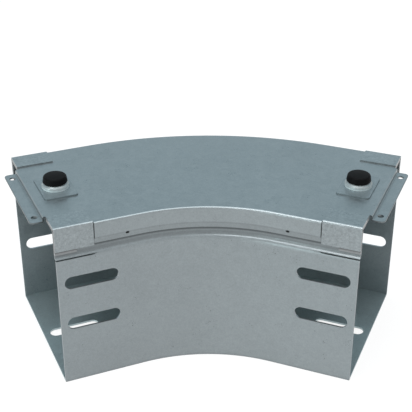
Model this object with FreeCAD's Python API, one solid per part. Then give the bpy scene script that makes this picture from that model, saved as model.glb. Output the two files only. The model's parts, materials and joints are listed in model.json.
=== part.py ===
import FreeCAD, Part
import math
import os

# A 45 degree flat bend of covered cable trunking in galvanised sheet. Two curved side walls are
# welded to a flat base, and a lift-off cover with turned-down edges is held by two turn locks.
# Millimetres. +X runs from the left end to the right end, +Y towards the outside of the bend and
# +Z up. The origin is the bottom centre of the part's box.

# Duct
bend_angle = 45.0
duct_width = 100.0
inner_radius = 100.0
leg_length = 50.0
body_height = 103.0

# Sheets
body_sheet = 1.2
cover_sheet = 0.8
fold_radius = 0.6

# Wall top, which steps inwards so that the cover's edge lies flush with the wall
joggle_drop = 19.6
joggle_rise = 2.4
joggle_radius = 2.8
cover_gap = 0.3

# Slots for coupling bolts, in the walls and in the base
slot_length = 32.0
slot_width = 8.0
slot_setback = 4.0
slot_drop = 15.4
slot_pitch = 27.5

# Relief slit at each end of each wall, at the foot of the step
slit_length = 24.5
slit_height = 0.7
slit_taper = 3.0
slit_rise = 0.7

# Corner brackets on the walls: a lip that the locks catch, and a tongue in the recess
bracket_length = 22.5
bracket_tongue = 12.6
bracket_leg = 12.4
lip_width = 14.9
tongue_gap = 0.1

# Cover
flange_depth = 13.5
kick_height = 3.7
kick_depth = 0.7
edge_fold = 0.6
snap_setback = 42.4
snap_height = 10.3
snap_length = 2.0
snap_width = 1.1

# Corner caps on the cover
cap_length = 22.6
cap_width = 16.0
cap_depth = 15.0
cap_slit = 0.4
cap_fold = 0.5
cap_corner_gap = 0.1

# Joint tongue at each end of the cover
joint_width = 65.0
joint_reach = 8.8
joint_step = 1.6
joint_root = 2.0
joint_drop = 2.8
joint_corner = 2.5
joint_fold = 0.4
joint_hole = 3.5
joint_hole_edge = 6.25
joint_hole_reach = 4.9

# Turn locks
lock_setback = 15.0
lock_plate_length = 20.0
lock_plate_width = 29.0
lock_plate_corner = 2.0
cup_sheet = 0.6
cup_body = 16.4
cup_top = 13.6
cup_height = 3.8
cup_shoulder = 1.2
cup_gap = 0.1
spring_sheet = 0.5
spring_foot = 11.4
spring_bore = 6.8
spring_rim = 0.8
knob_diameter = 14.7
knob_taper = 0.4
knob_height = 4.2
knob_shoulder = 1.2
knob_crown = 0.3
knob_edge = 0.3
knob_bore_depth = 2.6
spindle_diameter = 6.0
spindle_flats = 4.8
running_gap = 0.2
seat_gap = 0.3
bar_width = 14.0
bar_sheet = 1.5
bar_end_gap = 2.0
bar_catch = 3.2
bar_fold = 0.4
spacer_diameter = 10.0
nut_flats = 10.0
nut_height = 3.2
spindle_tip = 0.6

# How far a cutting shape runs past the faces that it cuts
overshoot = 1.0

# Values worked out from the sizes above
half_angle = math.radians(bend_angle / 2)
half_width = duct_width / 2
outer_radius = inner_radius + duct_width
centre_radius = inner_radius + half_width
front_reach = inner_radius * math.cos(half_angle) - leg_length * math.sin(half_angle)
bend_centre_y = -(front_reach + outer_radius) / 2
leg_angle = bend_angle / 2

joggle_start = body_height - joggle_drop
joggle_end = joggle_start + joggle_rise
upper_slot = joggle_start - slot_drop
slot_heights = (upper_slot - slot_pitch, upper_slot)
recess_depth = cover_sheet + cover_gap + body_sheet
recess_face = half_width - recess_depth
joggle_run = joggle_radius * math.tan(math.atan2(recess_depth, joggle_rise) / 2)
tongue_bottom = joggle_end + joggle_run + tongue_gap
bracket_face = half_width - cover_sheet - cover_gap
lip_underside = body_height - body_sheet
wall_top = lip_underside - fold_radius
cover_top = body_height + cover_sheet
cap_top = cover_top + cover_sheet
cover_edge = half_width - cover_sheet - edge_fold - cap_corner_gap
joint_top = cover_top - joint_drop
joint_underside = joint_top - cover_sheet
joint_hole_side = joint_width / 2 - joint_hole_edge
plate_top = cover_top + cover_sheet
kick_line = cover_top - flange_depth + kick_height
cup_top_z = cover_top + cup_height
knob_bottom = cup_top_z + seat_gap
bar_top = joint_underside - seat_gap
bar_bottom = bar_top - bar_sheet
catch_top = lip_underside - running_gap
bar_half = recess_face - body_sheet - bar_end_gap
nut_bottom = bar_bottom - nut_height
spindle_bottom = nut_bottom - spindle_tip

Z_AXIS = FreeCAD.Vector(0, 0, 1)
X_AXIS = FreeCAD.Vector(1, 0, 0)
ORIGIN = FreeCAD.Vector(0, 0, 0)


def vector(x, y, z):
    return FreeCAD.Vector(x, y, z)


# Folded sections

def unit(a, b):
    """Unit vector from 2-D point a to 2-D point b."""
    dx, dy = b[0] - a[0], b[1] - a[1]
    length = math.hypot(dx, dy)
    return dx / length, dy / length


def turn_at(points, i):
    """Signed angle by which a path turns at point i, positive to the left."""
    a = unit(points[i - 1], points[i])
    b = unit(points[i], points[i + 1])
    return math.atan2(a[0] * b[1] - a[1] * b[0], a[0] * b[0] + a[1] * b[1])


def offset_points(points, distance):
    """The path moved sideways by a distance, positive to the left, with its corners mitred."""
    moved = []
    for i, p in enumerate(points):
        before = unit(points[i - 1], p) if i else unit(p, points[1])
        after = unit(p, points[i + 1]) if i < len(points) - 1 else before
        half_turn = math.atan2(before[0] * after[1] - before[1] * after[0],
                               before[0] * after[0] + before[1] * after[1]) / 2
        angle = math.atan2(before[1], before[0]) + half_turn + math.pi / 2
        reach = distance / math.cos(half_turn)
        moved.append((p[0] + reach * math.cos(angle), p[1] + reach * math.sin(angle)))
    return moved


def rounded_edges(points, radii, lift):
    """Edges of a path of straight runs and tangent arcs. lift turns a 2-D point into a vector."""
    edges = []
    start = points[0]
    for i in range(1, len(points) - 1):
        turn = turn_at(points, i)
        back = unit(points[i], points[i - 1])
        ahead = unit(points[i], points[i + 1])
        radius = radii[i - 1]
        reach = radius * math.tan(abs(turn) / 2)
        p, q = points[i], points[i]
        p = (p[0] + reach * back[0], p[1] + reach * back[1])
        q = (q[0] + reach * ahead[0], q[1] + reach * ahead[1])
        bisector = unit((0, 0), (back[0] + ahead[0], back[1] + ahead[1]))
        middle_reach = radius / math.cos(turn / 2) - radius
        middle = (points[i][0] + middle_reach * bisector[0], points[i][1] + middle_reach * bisector[1])
        edges.append(Part.LineSegment(lift(start), lift(p)).toShape())
        edges.append(Part.Arc(lift(p), lift(middle), lift(q)).toShape())
        start = q
    edges.append(Part.LineSegment(lift(start), lift(points[-1])).toShape())
    return edges


def folded_section(points, sheet, radius, lift):
    """A sheet's cross-section: its outer face follows the points and the sheet lies to the left."""
    turns = [turn_at(points, i) for i in range(1, len(points) - 1)]
    outer_radii = [radius + sheet if turn > 0 else radius for turn in turns]
    inner_radii = [radius if turn > 0 else radius + sheet for turn in turns]
    inner_points = offset_points(points, sheet)
    edges = rounded_edges(points, outer_radii, lift)
    edges.append(Part.LineSegment(lift(points[-1]), lift(inner_points[-1])).toShape())
    edges += rounded_edges(inner_points, inner_radii, lift)
    edges.append(Part.LineSegment(lift(points[0]), lift(inner_points[0])).toShape())
    return Part.Face(Part.Wire(Part.sortEdges(edges)[0]))


def across(point):
    """Lift for sections across the duct: distance from its centre line, and height."""
    return vector(0, point[0], point[1])


def along(point):
    """Lift for sections along the duct: distance from its end, and height."""
    return vector(point[0], 0, point[1])


# Placing

def to_left_end(shape):
    """Places a shape made at an end: X inwards from the end plane, Y towards the outer wall."""
    placed = shape.copy()
    placed.translate(vector(-leg_length, centre_radius, 0))
    placed.rotate(ORIGIN, Z_AXIS, leg_angle)
    placed.translate(vector(0, bend_centre_y, 0))
    return placed


def mirror_ends(shape):
    return shape.mirror(ORIGIN, X_AXIS)


def other_wall(shape):
    """The same shape at the inner wall, for a shape made at the outer wall of an end."""
    return shape.mirror(ORIGIN, vector(0, 1, 0))


def sweep_duct(section):
    """Sweeps a section across the duct along the first leg, round the bend and along the other."""
    section = section.copy()
    section.translate(vector(0, centre_radius, 0))
    first = section.copy()
    first.rotate(ORIGIN, Z_AXIS, leg_angle)
    last = section.copy()
    last.rotate(ORIGIN, Z_AXIS, -leg_angle)
    out = vector(math.cos(half_angle), math.sin(half_angle), 0) * leg_length
    bend = last.revolve(ORIGIN, Z_AXIS, bend_angle)
    first_leg = first.extrude(vector(-out.x, -out.y, 0))
    last_leg = last.extrude(vector(out.x, -out.y, 0))
    swept = bend.multiFuse([first_leg, last_leg]).removeSplitter()
    swept.translate(vector(0, bend_centre_y, 0))
    return swept


def cut_at_ends(shape, cutters):
    """Cuts the shapes made at the left end out of both ends."""
    placed = [to_left_end(cutter) for cutter in cutters]
    return shape.cut(placed + [mirror_ends(cutter) for cutter in placed])


def box(x, y, z):
    """A box from pairs of low and high values."""
    made = Part.makeBox(x[1] - x[0], y[1] - y[0], z[1] - z[0])
    made.translate(vector(x[0], y[0], z[0]))
    return made


def cylinder(diameter, low, high, x=0.0, y=0.0):
    return Part.makeCylinder(diameter / 2, high - low, vector(x, y, low), Z_AXIS)


def rounded_plate(x, y, z, radius):
    """A plate with its upright corners rounded."""
    plate = box(x, y, z)
    upright = [e for e in plate.Edges if abs(e.Vertexes[0].Z - e.Vertexes[1].Z) > (z[1] - z[0]) / 2]
    return plate.makeFillet(radius, upright)


def slot_cutter(length, width, start, height, depth):
    """A round-ended slot through both walls, its long way along X, centred on a height."""
    core = box((start + width / 2, start + length - width / 2), (-depth, depth),
               (height - width / 2, height + width / 2))
    ends = []
    for x in (start + width / 2, start + length - width / 2):
        ends.append(Part.makeCylinder(width / 2, 2 * depth, vector(x, -depth, height), vector(0, 1, 0)))
    return core.multiFuse(ends).removeSplitter()


# Duct body

def base_plate():
    inside = half_width - body_sheet
    section = Part.Face(Part.makePolygon([across(p) for p in (
        (-inside, 0), (inside, 0), (inside, body_sheet), (-inside, body_sheet), (-inside, 0))]))
    slot = slot_cutter(slot_length, slot_width, slot_setback, 0, duct_width)
    slot.rotate(ORIGIN, X_AXIS, 90)
    return cut_at_ends(sweep_duct(section), [slot])


def relief_slit():
    """A thin cut at the foot of the step, pointed at its inner end."""
    top = joggle_start + slit_rise
    low = top - slit_height
    outline = [(-overshoot, low), (slit_length - slit_taper, low), (slit_length, top),
               (-overshoot, top), (-overshoot, low)]
    face = Part.Face(Part.makePolygon([vector(x, -duct_width, z) for x, z in outline]))
    return face.extrude(vector(0, 2 * duct_width, 0))


def wall(side):
    """A side wall. side is 1 for the outer wall and -1 for the inner wall."""
    outer_face = [(half_width, 0), (half_width, joggle_start), (recess_face, joggle_end),
                  (recess_face, wall_top)]
    section = folded_section(outer_face, body_sheet, joggle_radius, across)
    if side < 0:
        section = section.mirror(ORIGIN, vector(0, 1, 0))
    cutters = [slot_cutter(slot_length, slot_width, slot_setback, height, duct_width)
               for height in slot_heights]
    cutters.append(relief_slit())
    return cut_at_ends(sweep_duct(section), cutters)


def wall_bracket():
    """Corner bracket at the left end of the outer wall: a lip over a leg in the wall's recess."""
    leg_bottom = body_height - bracket_leg
    outer_face = [(bracket_face, tongue_bottom), (bracket_face, body_height),
                  (bracket_face - lip_width, body_height)]
    section = folded_section(outer_face, body_sheet, fold_radius, across)
    bracket = section.extrude(vector(bracket_length, 0, 0))
    clear = box((bracket_tongue, bracket_length + overshoot), (0, half_width), (0, leg_bottom))
    return bracket.cut(clear)


# Cover

def cover_section():
    low = cover_top - flange_depth
    right = [(half_width - kick_depth, low), (half_width, kick_line), (half_width, cover_top)]
    left = [(-q, z) for q, z in reversed(right)]
    return folded_section(right + left, cover_sheet, edge_fold, across)


def joint_tongue():
    """The tongue that is folded down and out at an end of the cover, for the next cover's end."""
    path = [(joint_root, cover_top), (-joint_step, cover_top), (-joint_step, joint_top),
            (-joint_reach, joint_top)]
    section = folded_section(path, cover_sheet, joint_fold, along)
    tongue = section.extrude(vector(0, joint_width, 0))
    tongue.translate(vector(0, -joint_width / 2, 0))
    outline = rounded_plate((-joint_reach, joint_root + joint_corner),
                            (-joint_width / 2, joint_width / 2),
                            (joint_underside - overshoot, cover_top + overshoot), joint_corner)
    tongue = tongue.common(outline)
    holes = [cylinder(joint_hole, joint_underside - overshoot, joint_top + overshoot,
                      -joint_hole_reach, y) for y in (-joint_hole_side, joint_hole_side)]
    return tongue.cut(holes)


def cover():
    plate = sweep_duct(cover_section())
    below = cover_top - flange_depth - overshoot
    above = cover_top + overshoot
    outside = half_width + overshoot
    cutters = [
        cylinder(spindle_diameter + 2 * running_gap, below, above, lock_setback),
        slot_cutter(snap_length, snap_width, snap_setback - snap_length / 2, cover_top - snap_height,
                    duct_width),
    ]
    for y in ((cover_edge, outside), (-outside, -cover_edge)):
        cutters.append(box((-overshoot, cap_length), y, (below, above)))
        cutters.append(box((cap_length, cap_length + cap_slit), y, (kick_line, above)))
    plate = cut_at_ends(plate, cutters)
    tongue = to_left_end(joint_tongue())
    return plate.multiFuse([tongue, mirror_ends(tongue)]).removeSplitter()


def corner_cap():
    """Cap at the left end of the cover's outer edge, welded on top of the cover."""
    outer_face = [(half_width, cap_top - cap_depth), (half_width, cap_top),
                  (half_width - cap_width, cap_top)]
    section = folded_section(outer_face, cover_sheet, cap_fold, across)
    return section.extrude(vector(cap_length, 0, 0))


# Turn lock, made at the end frame with its axis at the lock's setback

def lock_plate():
    half_length = lock_plate_length / 2
    half_plate = lock_plate_width / 2
    plate = rounded_plate((lock_setback - half_length, lock_setback + half_length),
                          (-half_plate, half_plate), (cover_top, plate_top), lock_plate_corner)
    hole = cylinder(cup_body + 2 * cup_gap, cover_top - overshoot, plate_top + overshoot, lock_setback)
    return plate.cut(hole)


def turned(face):
    """Turns a section in the plane of X and Z about Z and moves it to the lock's axis."""
    made = face.revolve(ORIGIN, Z_AXIS, 360)
    made.translate(vector(lock_setback, 0, 0))
    return made


def lock_cup():
    """Cup under the knob, which stands on the cover in the plate's hole and covers the spring."""
    path = [(cup_body / 2, cover_top), (cup_body / 2, cup_top_z - cup_shoulder),
            (cup_top / 2, cup_top_z), (spindle_diameter / 2 + running_gap, cup_top_z)]
    return turned(folded_section(path, cup_sheet, cup_sheet / 2, along))


def lock_spring():
    """Dished spring washer inside the cup, with a flat rim at its foot and another at its bore."""
    foot_top = cover_top + spring_sheet
    top = cup_top_z - cup_sheet
    path = [(spring_foot / 2, foot_top), (spring_foot / 2 - spring_rim, foot_top),
            (spring_bore / 2 + spring_rim, top), (spring_bore / 2, top)]
    return turned(folded_section(path, spring_sheet, spring_sheet / 2, along))


def knob_section():
    """Half section of the round knob: a tapered side, a rounded shoulder and a low crown."""
    radius = knob_diameter / 2
    side_radius = radius - knob_taper
    top = knob_bottom + knob_height
    edge_top = knob_bottom + knob_edge
    shoulder_top = top - knob_crown
    side_top = shoulder_top - knob_shoulder
    flat = side_radius - knob_shoulder
    crown_radius = (flat ** 2 + knob_crown ** 2) / (2 * knob_crown)
    crown_turn = math.asin(flat / crown_radius) / 2
    crown_side = (crown_radius * math.sin(crown_turn), top - crown_radius * (1 - math.cos(crown_turn)))
    bore = spindle_diameter / 2
    bore_top = knob_bottom + knob_bore_depth
    turn = knob_shoulder * (1 - math.cos(math.pi / 4))
    edges = [
        Part.LineSegment(along((bore, knob_bottom)), along((radius - knob_edge, knob_bottom))),
        Part.LineSegment(along((radius - knob_edge, knob_bottom)), along((radius, edge_top))),
        Part.LineSegment(along((radius, edge_top)), along((side_radius, side_top))),
        Part.Arc(along((side_radius, side_top)), along((side_radius - turn, shoulder_top - turn)),
                 along((flat, shoulder_top))),
        Part.Arc(along((flat, shoulder_top)), along(crown_side), along((0, top))),
        Part.LineSegment(along((0, top)), along((0, bore_top))),
        Part.LineSegment(along((0, bore_top)), along((bore, bore_top))),
        Part.LineSegment(along((bore, bore_top)), along((bore, knob_bottom))),
    ]
    return Part.Face(Part.Wire([edge.toShape() for edge in edges]))


def lock_knob():
    return turned(knob_section())


def flatted(shape, low, high):
    """Cuts the spindle's two flats between two heights."""
    wide = spindle_diameter
    for sign in (-1, 1):
        near, far = sorted((sign * spindle_flats / 2, sign * wide))
        shape = shape.cut(box((lock_setback + near, lock_setback + far), (-wide, wide), (low, high)))
    return shape


def lock_spindle():
    rod = cylinder(spindle_diameter, spindle_bottom, knob_bottom + knob_bore_depth, lock_setback)
    return flatted(rod, spindle_bottom - overshoot, bar_top)


def lock_bar():
    """Bar across the duct, under the cover, whose raised ends catch the lips of the wall brackets."""
    rise = catch_top - bar_top
    catch = bar_half - bar_catch
    right = [(bar_half, catch_top), (catch, catch_top), (catch - rise, bar_top)]
    left = [(-q, z) for q, z in reversed(right)]
    section = folded_section(right + left, bar_sheet, bar_fold, across)
    bar = section.extrude(vector(bar_width, 0, 0))
    bar.translate(vector(lock_setback - bar_width / 2, 0, 0))
    low, high = bar_bottom - overshoot, bar_top + overshoot
    hole = flatted(cylinder(spindle_diameter, low, high, lock_setback), low, high)
    return bar.cut(hole)


def lock_spacer():
    spacer = cylinder(spacer_diameter, bar_top, body_height - seat_gap, lock_setback)
    return spacer.cut(cylinder(spindle_diameter, bar_top - overshoot, body_height, lock_setback))


def lock_nut():
    corner = nut_flats / 2 / math.cos(math.pi / 6)
    ring = [vector(lock_setback + corner * math.cos(math.radians(60 * i)),
                   corner * math.sin(math.radians(60 * i)), nut_bottom) for i in range(7)]
    nut = Part.Face(Part.makePolygon(ring)).extrude(vector(0, 0, nut_height))
    return nut.cut(cylinder(spindle_diameter, nut_bottom - overshoot, bar_bottom + overshoot, lock_setback))


def end_pieces():
    """The pieces that each end has, as made at the left end."""
    bracket = wall_bracket()
    cap = corner_cap()
    return {
        "wall_bracket_outer": bracket,
        "wall_bracket_inner": other_wall(bracket),
        "corner_cap_outer": cap,
        "corner_cap_inner": other_wall(cap),
        "lock_plate": lock_plate(),
        "lock_cup": lock_cup(),
        "lock_spring": lock_spring(),
        "lock_knob": lock_knob(),
        "lock_spindle": lock_spindle(),
        "lock_bar": lock_bar(),
        "lock_spacer": lock_spacer(),
        "lock_nut": lock_nut(),
    }


def build():
    parts = {
        "base_plate": base_plate(),
        "outer_wall": wall(1),
        "inner_wall": wall(-1),
        "cover": cover(),
    }
    for name, shape in end_pieces().items():
        left = to_left_end(shape)
        parts[name + "_left"] = left
        parts[name + "_right"] = mirror_ends(left)
    return parts


os.makedirs("parts", exist_ok=True)
for node, solid in build().items():
    solid.exportStep("parts/" + node + ".step")
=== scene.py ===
"""Looks of the cable trunking bend: galvanised sheet, zinc-plated lock parts and black knobs."""

import json
import math

import bpy
from mathutils import Matrix, Vector

# Camera of the photograph: the picture's side and the focal length in pixels, the sensor in
# millimetres, the place in metres, and the angles in degrees
PICTURE_SIDE = 412
FOCAL_PIXELS = 985.0
SENSOR_WIDTH = 36.0
CAMERA_PLACE = (-0.0051, -0.5307, 0.3716)
CAMERA_PITCH = 28.40
CAMERA_YAW = -0.494

WHITE_RGB = (1.0, 1.0, 1.0)

# Floor: its side and how far it lies under the base in metres, its grey for the light that it
# passes on, and its grey and glow as the camera and the metal see it
FLOOR_SIDE = 6.0
FLOOR_DROP = 0.0003
FLOOR_GREY = 0.85
FLOOR_SEEN_GREY = 0.16
FLOOR_SEEN_GLOW = 0.88

# Sky: its colour high up at the back and at the front, the upward part of a direction where the
# white ends and where that colour is full, the part along Y over which front turns into back, and
# the strength as seen or mirrored and as light
BACK_SKY_RGB = (0.58, 0.735, 0.805)
BACK_SKY_RISE = (0.03, 0.35)
FRONT_SKY_RGB = (0.78, 0.82, 0.84)
FRONT_SKY_RISE = (0.3, 0.75)
FRONT_TO_BACK = (-0.25, 0.1)
SKY_SEEN_STRENGTH = 1.0
SKY_LIGHT_STRENGTH = 0.76

# Colours of the finishes, linear
DUCT_RGB = (0.262, 0.290, 0.301)
COVER_RGB = (0.274, 0.304, 0.315)
# The base plate is lighter than the walls' sheet: painted light inside the duct
BASE_PAINTED_LIGHT_RGB = (0.378, 0.456, 0.472)
OUTER_RGB = (0.29, 0.335, 0.35)
BRACKET_RGB = (0.27, 0.278, 0.283)
CAP_RGB = (0.278, 0.308, 0.319)
PLATE_RGB = (0.19, 0.228, 0.243)
BAR_RGB = (0.38, 0.40, 0.41)
PLATED_RGB = (0.375, 0.42, 0.428)
KNOB_RGB = (0.006, 0.006, 0.0063)

# Galvanised sheet: the texture's features per metre, how far the faint ones and the roughness
# swing, the specular level, and the grain as bumps, with its depth in metres
CRYSTAL_SCALE = 260.0
GRAIN_SCALE = 1400.0
PATCH_SCALE = 620.0
BLOTCH_SCALE = 22.0
FAINT_SWING = 0.025
ZINC_ROUGHNESS_SWING = 0.03
ZINC_SPECULAR = 0.3
ZINC_BUMP_DEPTH = 0.00004
ZINC_BUMP_STRENGTH = 0.25

# What most of the sheets share, and how metallic the cover and its caps are
SHEET_METALLIC = 0.7
SHEET_ROUGHNESS = 0.33
SHEET_MOTTLE = 0.03
SHEET_GRAIN = 0.06
COVER_METALLIC = 0.92

# Plated steel, in the same way, with the lowest and highest factor of its drawn texture
DRAWN_SCALE = 900.0
DRAWN_TINT = (0.93, 1.05)
PLATED_ROUGHNESS_SWING = 0.05
PLATED_BUMP_DEPTH = 0.00003
PLATED_BUMP_STRENGTH = 0.2

# Black plastic, in the same way. A low index keeps its reflections faint.
SPARK_SCALE = 2600.0
SPARK_SWING = 0.2
KNOB_ROUGHNESS_SWING = 0.06
KNOB_IOR = 1.1
KNOB_BUMP_DEPTH = 0.00004
KNOB_BUMP_STRENGTH = 0.3

# The range that most values of a noise keep to
NOISE_RANGE = (0.3, 0.7)

# Painted shade at places near another surface, in corners, recesses and under parts: how near that
# is in metres, the darkest factor on the duct and on the cover, and how open a place is where it is
# darkest and where the darkening ends
NOOK_SHADE_REACH = 0.003
DUCT_NOOK_SHADE = 0.65
COVER_NOOK_SHADE = 0.9
NOOK_SHADE_RANGE = (0.3, 0.9)
NEARNESS_SAMPLES = 16

# Cut edges of the cover, in the same way, as seen from inside the metal
EDGE_REACH = 0.0007
EDGE_DARKEST = 0.35
EDGE_RANGE = (0.5, 0.85)

# Painted shading by height: pairs of a height over the floor in metres and the factor on the colour
# there. The walls' stepped strip gets a painted shadow under the cover's edge and painted shade in
# its recess, the wall brackets a painted shadow under the caps, the kick of the cover's edge painted
# shade along its bend and slope, and the lock cups painted light near their foot and painted shade
# near their top
STRIP_PAINTED_SHADE = (
    (0.0830, 1.0), (0.0850, 0.92), (0.0858, 0.72), (0.0869, 0.66),
    (0.0879, 0.78), (0.0883, 0.68), (0.0888, 0.40), (0.0905, 0.40),
)
BRACKET_PAINTED_SHADE = ((0.0860, 0.92), (0.0878, 0.92), (0.0883, 0.75), (0.0888, 0.42), (0.0905, 0.42))
KICK_PAINTED_SHADE = ((0.0903, 0.90), (0.0932, 0.90), (0.0938, 0.80), (0.0942, 0.86), (0.0946, 1.0))
CUP_PAINTED_LIGHT_AND_SHADE = ((0.1038, 1.7), (0.1050, 1.75), (0.1060, 1.10), (0.1065, 0.72), (0.1076, 0.58))

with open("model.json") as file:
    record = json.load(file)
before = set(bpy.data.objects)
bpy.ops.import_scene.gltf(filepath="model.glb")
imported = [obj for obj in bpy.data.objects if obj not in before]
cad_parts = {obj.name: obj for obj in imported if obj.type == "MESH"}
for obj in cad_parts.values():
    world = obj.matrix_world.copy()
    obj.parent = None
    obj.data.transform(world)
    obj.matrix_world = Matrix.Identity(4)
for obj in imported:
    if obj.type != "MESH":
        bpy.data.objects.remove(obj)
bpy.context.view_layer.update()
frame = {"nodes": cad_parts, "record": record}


def colour(rgb):
    return (*rgb, 1.0)


def grey(value):
    return colour((value, value, value))


def emptied_tree(owner, output_type):
    """The emptied node tree of a material or world, and the surface socket of its new output."""
    owner.use_nodes = True
    tree = owner.node_tree
    tree.nodes.clear()
    return tree, tree.nodes.new(output_type).inputs["Surface"]


def new_material(name):
    """A material with nothing but its output and a Principled shader."""
    material = bpy.data.materials.new(name)
    tree, surface = emptied_tree(material, "ShaderNodeOutputMaterial")
    shader = tree.nodes.new("ShaderNodeBsdfPrincipled")
    tree.links.new(shader.outputs["BSDF"], surface)
    return material, tree, shader


def coordinates(tree):
    return tree.nodes.new("ShaderNodeTexCoord").outputs["Object"]


def noise(tree, place, scale, detail=2.0):
    """Noise between 0 and 1, in features of about 1/scale metres."""
    node = tree.nodes.new("ShaderNodeTexNoise")
    node.inputs["Scale"].default_value = scale
    node.inputs["Detail"].default_value = detail
    tree.links.new(place, node.inputs["Vector"])
    return node.outputs["Fac"]


def crystals(tree, place, scale):
    """One random grey for each crystal of the zinc."""
    cells = tree.nodes.new("ShaderNodeTexVoronoi")
    cells.inputs["Scale"].default_value = scale
    tree.links.new(place, cells.inputs["Vector"])
    split = tree.nodes.new("ShaderNodeSeparateColor")
    tree.links.new(cells.outputs["Color"], split.inputs["Color"])
    return split.outputs["Red"]


def spread(tree, value, low, high, source=(0.0, 1.0)):
    """Maps a value from the source range onto the range from low to high."""
    node = tree.nodes.new("ShaderNodeMapRange")
    node.inputs["From Min"].default_value = source[0]
    node.inputs["From Max"].default_value = source[1]
    node.inputs["To Min"].default_value = low
    node.inputs["To Max"].default_value = high
    tree.links.new(value, node.inputs["Value"])
    return node.outputs["Result"]


def around(tree, value, middle, swing, source=(0.0, 1.0)):
    """Maps a value from the source range onto the range of middle give or take swing."""
    return spread(tree, value, middle - swing, middle + swing, source)


def combine(tree, operation, a, b):
    node = tree.nodes.new("ShaderNodeMath")
    node.operation = operation
    tree.links.new(a, node.inputs[0])
    tree.links.new(b, node.inputs[1])
    return node.outputs["Value"]


def product(tree, factors):
    total = factors[0]
    for factor in factors[1:]:
        total = combine(tree, "MULTIPLY", total, factor)
    return total


def shaded(tree, rgb, factor):
    """A colour made lighter or darker by a factor."""
    node = tree.nodes.new("ShaderNodeVectorMath")
    node.operation = "SCALE"
    node.inputs[0].default_value = rgb
    tree.links.new(factor, node.inputs["Scale"])
    return node.outputs["Vector"]


def add_bump(tree, shader, height, depth, strength):
    node = tree.nodes.new("ShaderNodeBump")
    node.inputs["Strength"].default_value = strength
    node.inputs["Distance"].default_value = depth
    tree.links.new(height, node.inputs["Height"])
    tree.links.new(node.outputs["Normal"], shader.inputs["Normal"])


def openness(tree, reach, inside=False):
    """1 where nothing is within reach and less near a surface, looking outwards or into the metal."""
    near = tree.nodes.new("ShaderNodeAmbientOcclusion")
    near.samples = NEARNESS_SAMPLES
    near.inside = inside
    near.inputs["Distance"].default_value = reach
    return near.outputs["AO"]


def painted_nook_shade(tree, darkest):
    """Painted shade: darkens the places near another surface, down to darkest."""
    return spread(tree, openness(tree, NOOK_SHADE_REACH), darkest, 1.0, NOOK_SHADE_RANGE)


def cut_edges(tree):
    """Darkens the cut edges of a sheet, where the far side of the metal is near."""
    return spread(tree, openness(tree, EDGE_REACH, inside=True), EDGE_DARKEST, 1.0, EDGE_RANGE)


def painted_shading_by_height(tree, place, stops_by_height):
    """A factor of painted light and shade that changes with the height over the floor."""
    split = tree.nodes.new("ShaderNodeSeparateXYZ")
    tree.links.new(place, split.inputs["Vector"])
    ramp = tree.nodes.new("ShaderNodeValToRGB")
    low = stops_by_height[0][0]
    high = stops_by_height[-1][0]
    stops = ramp.color_ramp.elements
    for height, _ in stops_by_height[1:-1]:
        stops.new((height - low) / (high - low))
    for stop, (_, factor) in zip(stops, stops_by_height):
        stop.color = grey(factor)
    tree.links.new(spread(tree, split.outputs["Z"], 0.0, 1.0, (low, high)), ramp.inputs["Fac"])
    return ramp.outputs["Color"]


def galvanised(name, rgb, metallic=SHEET_METALLIC, roughness=SHEET_ROUGHNESS, mottle=SHEET_MOTTLE,
               grain_depth=SHEET_GRAIN, darkest=None, painted_shading=None, dark_edges=False):
    """Zinc-coated sheet: faint crystals, mottling, a fine grain and slow blotches, with painted shade
    near other surfaces and painted shading by height where these are given.
    """
    material, tree, shader = new_material(name)
    place = coordinates(tree)
    cells = crystals(tree, place, CRYSTAL_SCALE)
    grain = noise(tree, place, GRAIN_SCALE)
    patches = noise(tree, place, PATCH_SCALE, detail=1.0)
    blotches = noise(tree, place, BLOTCH_SCALE, detail=3.0)
    factors = [
        around(tree, cells, 1.0, FAINT_SWING),
        around(tree, grain, 1.0, grain_depth, NOISE_RANGE),
        around(tree, patches, 1.0, mottle, NOISE_RANGE),
        around(tree, blotches, 1.0, FAINT_SWING, NOISE_RANGE),
    ]
    # Painted shade near other surfaces
    if darkest:
        factors.append(painted_nook_shade(tree, darkest))
    if dark_edges:
        factors.append(cut_edges(tree))
    # Painted shadow and shade by height
    if painted_shading:
        factors.append(painted_shading_by_height(tree, place, painted_shading))
    tree.links.new(shaded(tree, rgb, product(tree, factors)), shader.inputs["Base Color"])
    rough = combine(tree, "ADD", around(tree, cells, roughness, ZINC_ROUGHNESS_SWING),
                    around(tree, grain, 0.0, ZINC_ROUGHNESS_SWING, NOISE_RANGE))
    tree.links.new(rough, shader.inputs["Roughness"])
    shader.inputs["Metallic"].default_value = metallic
    shader.inputs["Specular IOR Level"].default_value = ZINC_SPECULAR
    add_bump(tree, shader, grain, ZINC_BUMP_DEPTH, ZINC_BUMP_STRENGTH)
    return material


def plated(name, rgb, metallic, roughness, painted_shading):
    """Bright plated steel with a faint drawn texture, and painted light and shade by height."""
    material, tree, shader = new_material(name)
    place = coordinates(tree)
    grain = noise(tree, place, DRAWN_SCALE, detail=3.0)
    # Painted light near the cups' foot and painted shade near their top, by height
    factors = [spread(tree, grain, *DRAWN_TINT, NOISE_RANGE), painted_shading_by_height(tree, place, painted_shading)]
    tree.links.new(shaded(tree, rgb, product(tree, factors)), shader.inputs["Base Color"])
    rough = around(tree, grain, roughness, PLATED_ROUGHNESS_SWING, NOISE_RANGE)
    tree.links.new(rough, shader.inputs["Roughness"])
    shader.inputs["Metallic"].default_value = metallic
    add_bump(tree, shader, grain, PLATED_BUMP_DEPTH, PLATED_BUMP_STRENGTH)
    return material


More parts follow.
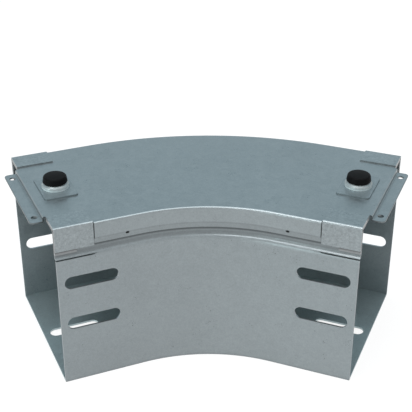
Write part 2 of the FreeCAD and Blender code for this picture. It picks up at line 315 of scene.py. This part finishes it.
def moulded(name, rgb, roughness):
    """Black moulded plastic with a fine spark texture."""
    material, tree, shader = new_material(name)
    grain = noise(tree, coordinates(tree), SPARK_SCALE)
    tint = around(tree, grain, 1.0, SPARK_SWING, NOISE_RANGE)
    tree.links.new(shaded(tree, rgb, tint), shader.inputs["Base Color"])
    rough = around(tree, grain, roughness, KNOB_ROUGHNESS_SWING, NOISE_RANGE)
    tree.links.new(rough, shader.inputs["Roughness"])
    shader.inputs["IOR"].default_value = KNOB_IOR
    add_bump(tree, shader, grain, KNOB_BUMP_DEPTH, KNOB_BUMP_STRENGTH)
    return material


def make_finishes():
    """The finishes, each under the start of a node's name or under a material slot."""
    return {
        # A lighter copy of the sheet: painted light inside the duct
        "base_plate": galvanised("galvanised_base_painted_light", BASE_PAINTED_LIGHT_RGB),
        # Painted shadow and shade on the walls' strip under the cover's edge
        "outer_wall": galvanised("galvanised_outer", OUTER_RGB, painted_shading=STRIP_PAINTED_SHADE),
        # Painted shade near other surfaces and a painted shadow under the caps
        "wall_bracket": galvanised("galvanised_bracket", BRACKET_RGB, mottle=0.04, grain_depth=0.08,
                                   darkest=DUCT_NOOK_SHADE, painted_shading=BRACKET_PAINTED_SHADE),
        "lock_plate": galvanised("galvanised_plate", PLATE_RGB, metallic=0.55, roughness=0.38,
                                 mottle=0.05, grain_depth=0.07),
        "corner_cap": galvanised("galvanised_cap", CAP_RGB, metallic=COVER_METALLIC,
                                 mottle=0.10, grain_depth=0.10),
        "duct_sheet": galvanised("galvanised_duct", DUCT_RGB,
                                 darkest=DUCT_NOOK_SHADE, painted_shading=STRIP_PAINTED_SHADE),
        # Painted shade near other surfaces and along the kick of the cover's edge
        "cover_sheet": galvanised("galvanised_cover", COVER_RGB, metallic=COVER_METALLIC,
                                  darkest=COVER_NOOK_SHADE, painted_shading=KICK_PAINTED_SHADE, dark_edges=True),
        "lock_bar": galvanised("galvanised_bar", BAR_RGB, metallic=0.8, roughness=0.35,
                               grain_depth=0.05),
        # Painted light near the cups' foot and painted shade near their top
        "lock_metal": plated("plated_steel", PLATED_RGB, metallic=0.4, roughness=0.35,
                             painted_shading=CUP_PAINTED_LIGHT_AND_SHADE),
        "lock_knob": moulded("black_plastic", KNOB_RGB, roughness=0.42),
    }


def dress():
    """Gives each node the finish of its own name where there is one, or else of its slot."""
    finishes = make_finishes()
    slot_of = {subpart["node"]: subpart["material_slot"] for subpart in frame["record"]["subparts"]}
    for node, piece in frame["nodes"].items():
        own = [start for start in finishes if node.startswith(start)]
        finish = own[0] if own else slot_of[node]
        for slot in piece.material_slots:
            slot.material = finishes[finish]


def seen_directly(tree):
    """1 for the rays of the camera, of reflections and of clear materials, 0 for the rest."""
    path = tree.nodes.new("ShaderNodeLightPath")
    opaque = combine(tree, "MAXIMUM", path.outputs["Is Camera Ray"], path.outputs["Is Glossy Ray"])
    return combine(tree, "MAXIMUM", opaque, path.outputs["Is Transmission Ray"])


def by_ray(tree, lit, seen):
    """One shader for the light that is passed on, and another for what is seen directly."""
    mix = tree.nodes.new("ShaderNodeMixShader")
    tree.links.new(seen_directly(tree), mix.inputs["Fac"])
    tree.links.new(lit, mix.inputs[1])
    tree.links.new(seen, mix.inputs[2])
    return mix.outputs["Shader"]


def matt(tree, value):
    node = tree.nodes.new("ShaderNodeBsdfDiffuse")
    node.inputs["Color"].default_value = grey(value)
    return node.outputs["BSDF"]


def floor_material():
    """Pale grey as light falls on it, and seen as a white glow over a dark matt."""
    material = bpy.data.materials.new("pale_floor")
    tree, surface = emptied_tree(material, "ShaderNodeOutputMaterial")
    glow = tree.nodes.new("ShaderNodeEmission")
    glow.inputs["Color"].default_value = colour(WHITE_RGB)
    glow.inputs["Strength"].default_value = FLOOR_SEEN_GLOW
    seen = tree.nodes.new("ShaderNodeAddShader")
    tree.links.new(matt(tree, FLOOR_SEEN_GREY), seen.inputs[0])
    tree.links.new(glow.outputs["Emission"], seen.inputs[1])
    tree.links.new(by_ray(tree, matt(tree, FLOOR_GREY), seen.outputs["Shader"]), surface)
    return material


def add_floor():
    """A pale floor that the camera and the metal see as white, with a faint shadow."""
    half = FLOOR_SIDE / 2
    corners = ((-half, -half), (half, -half), (half, half), (-half, half))
    mesh = bpy.data.meshes.new("floor")
    mesh.from_pydata([(x, y, -FLOOR_DROP) for x, y in corners], [], [(0, 1, 2, 3)])
    mesh.materials.append(floor_material())
    floor = bpy.data.objects.new("floor", mesh)
    bpy.context.scene.collection.objects.link(floor)


def rising_sky(tree, upward, rise, rgb):
    """White that turns into a colour where a direction rises."""
    ramp = tree.nodes.new("ShaderNodeValToRGB")
    stops = ramp.color_ramp.elements
    stops[0].position = rise[0]
    stops[0].color = colour(WHITE_RGB)
    stops[1].position = rise[1]
    stops[1].color = colour(rgb)
    tree.links.new(upward, ramp.inputs["Fac"])
    return ramp.outputs["Color"]


def background(tree, sky, strength):
    node = tree.nodes.new("ShaderNodeBackground")
    node.inputs["Strength"].default_value = strength
    tree.links.new(sky, node.inputs["Color"])
    return node.outputs["Background"]


def add_world():
    """A soft sky, white at the horizon and bluer higher up, that is weaker as light than as seen."""
    world = bpy.data.worlds.new("studio")
    bpy.context.scene.world = world
    tree, surface = emptied_tree(world, "ShaderNodeOutputWorld")
    split = tree.nodes.new("ShaderNodeSeparateXYZ")
    direction = tree.nodes.new("ShaderNodeTexCoord").outputs["Generated"]
    tree.links.new(direction, split.inputs["Vector"])
    upward = split.outputs["Z"]
    blend = tree.nodes.new("ShaderNodeMix")
    blend.data_type = "RGBA"
    tree.links.new(spread(tree, split.outputs["Y"], 0.0, 1.0, FRONT_TO_BACK), blend.inputs["Factor"])
    tree.links.new(rising_sky(tree, upward, FRONT_SKY_RISE, FRONT_SKY_RGB), blend.inputs["A"])
    tree.links.new(rising_sky(tree, upward, BACK_SKY_RISE, BACK_SKY_RGB), blend.inputs["B"])
    lit = background(tree, blend.outputs["Result"], SKY_LIGHT_STRENGTH)
    seen = background(tree, blend.outputs["Result"], SKY_SEEN_STRENGTH)
    tree.links.new(by_ray(tree, lit, seen), surface)


def add_softbox(name, place, target, width, height, power, rgb=WHITE_RGB):
    """A rectangular lamp at a place, turned to a target, that the camera doesn't see."""
    lamp = bpy.data.lights.new(name, "AREA")
    lamp.shape = "RECTANGLE"
    lamp.size = width
    lamp.size_y = height
    lamp.energy = power
    lamp.color = rgb
    holder = bpy.data.objects.new(name, lamp)
    holder.location = place
    holder.rotation_mode = "QUATERNION"
    holder.rotation_quaternion = (Vector(target) - Vector(place)).to_track_quat("-Z", "Y")
    holder.visible_camera = False
    bpy.context.scene.collection.objects.link(holder)


def add_lamps():
    """A lamp high at the front left for the highlight along the walls' step, a cool one low at the
    front left, and a large dim one overhead for the cover's bent edges. Metres and watts."""
    add_softbox("front_softbox", place=(-0.42, -0.56, 1.28), target=(0.08, -0.03, 0.085),
                width=0.8, height=0.32, power=3.8)
    add_softbox("left_softbox", place=(-1.4, -1.0, 0.3), target=(0.0, 0.0, 0.05),
                width=0.8, height=0.5, power=9.0, rgb=(0.8, 1.0, 1.0))
    add_softbox("top_softbox", place=(0.0, 0.1, 1.7), target=(0.0, 0.1, 0.1),
                width=2.2, height=1.6, power=21.0)


def add_camera():
    """The photograph's camera, level from side to side."""
    pitch = math.radians(CAMERA_PITCH)
    yaw = math.radians(CAMERA_YAW)
    ahead = Vector((-math.sin(yaw) * math.cos(pitch), math.cos(yaw) * math.cos(pitch), -math.sin(pitch)))
    right = Vector((math.cos(yaw), math.sin(yaw), 0.0))
    up = right.cross(ahead)
    camera = bpy.data.cameras.new("camera")
    camera.sensor_width = SENSOR_WIDTH
    camera.lens = FOCAL_PIXELS * SENSOR_WIDTH / PICTURE_SIDE
    holder = bpy.data.objects.new("camera", camera)
    turn = Matrix((right, up, -ahead)).transposed()
    holder.matrix_world = Matrix.Translation(CAMERA_PLACE) @ turn.to_4x4()
    bpy.context.scene.collection.objects.link(holder)
    bpy.context.scene.camera = holder


dress()
add_floor()
add_world()
add_lamps()
add_camera()
bpy.context.scene.view_settings.view_transform = "Standard"
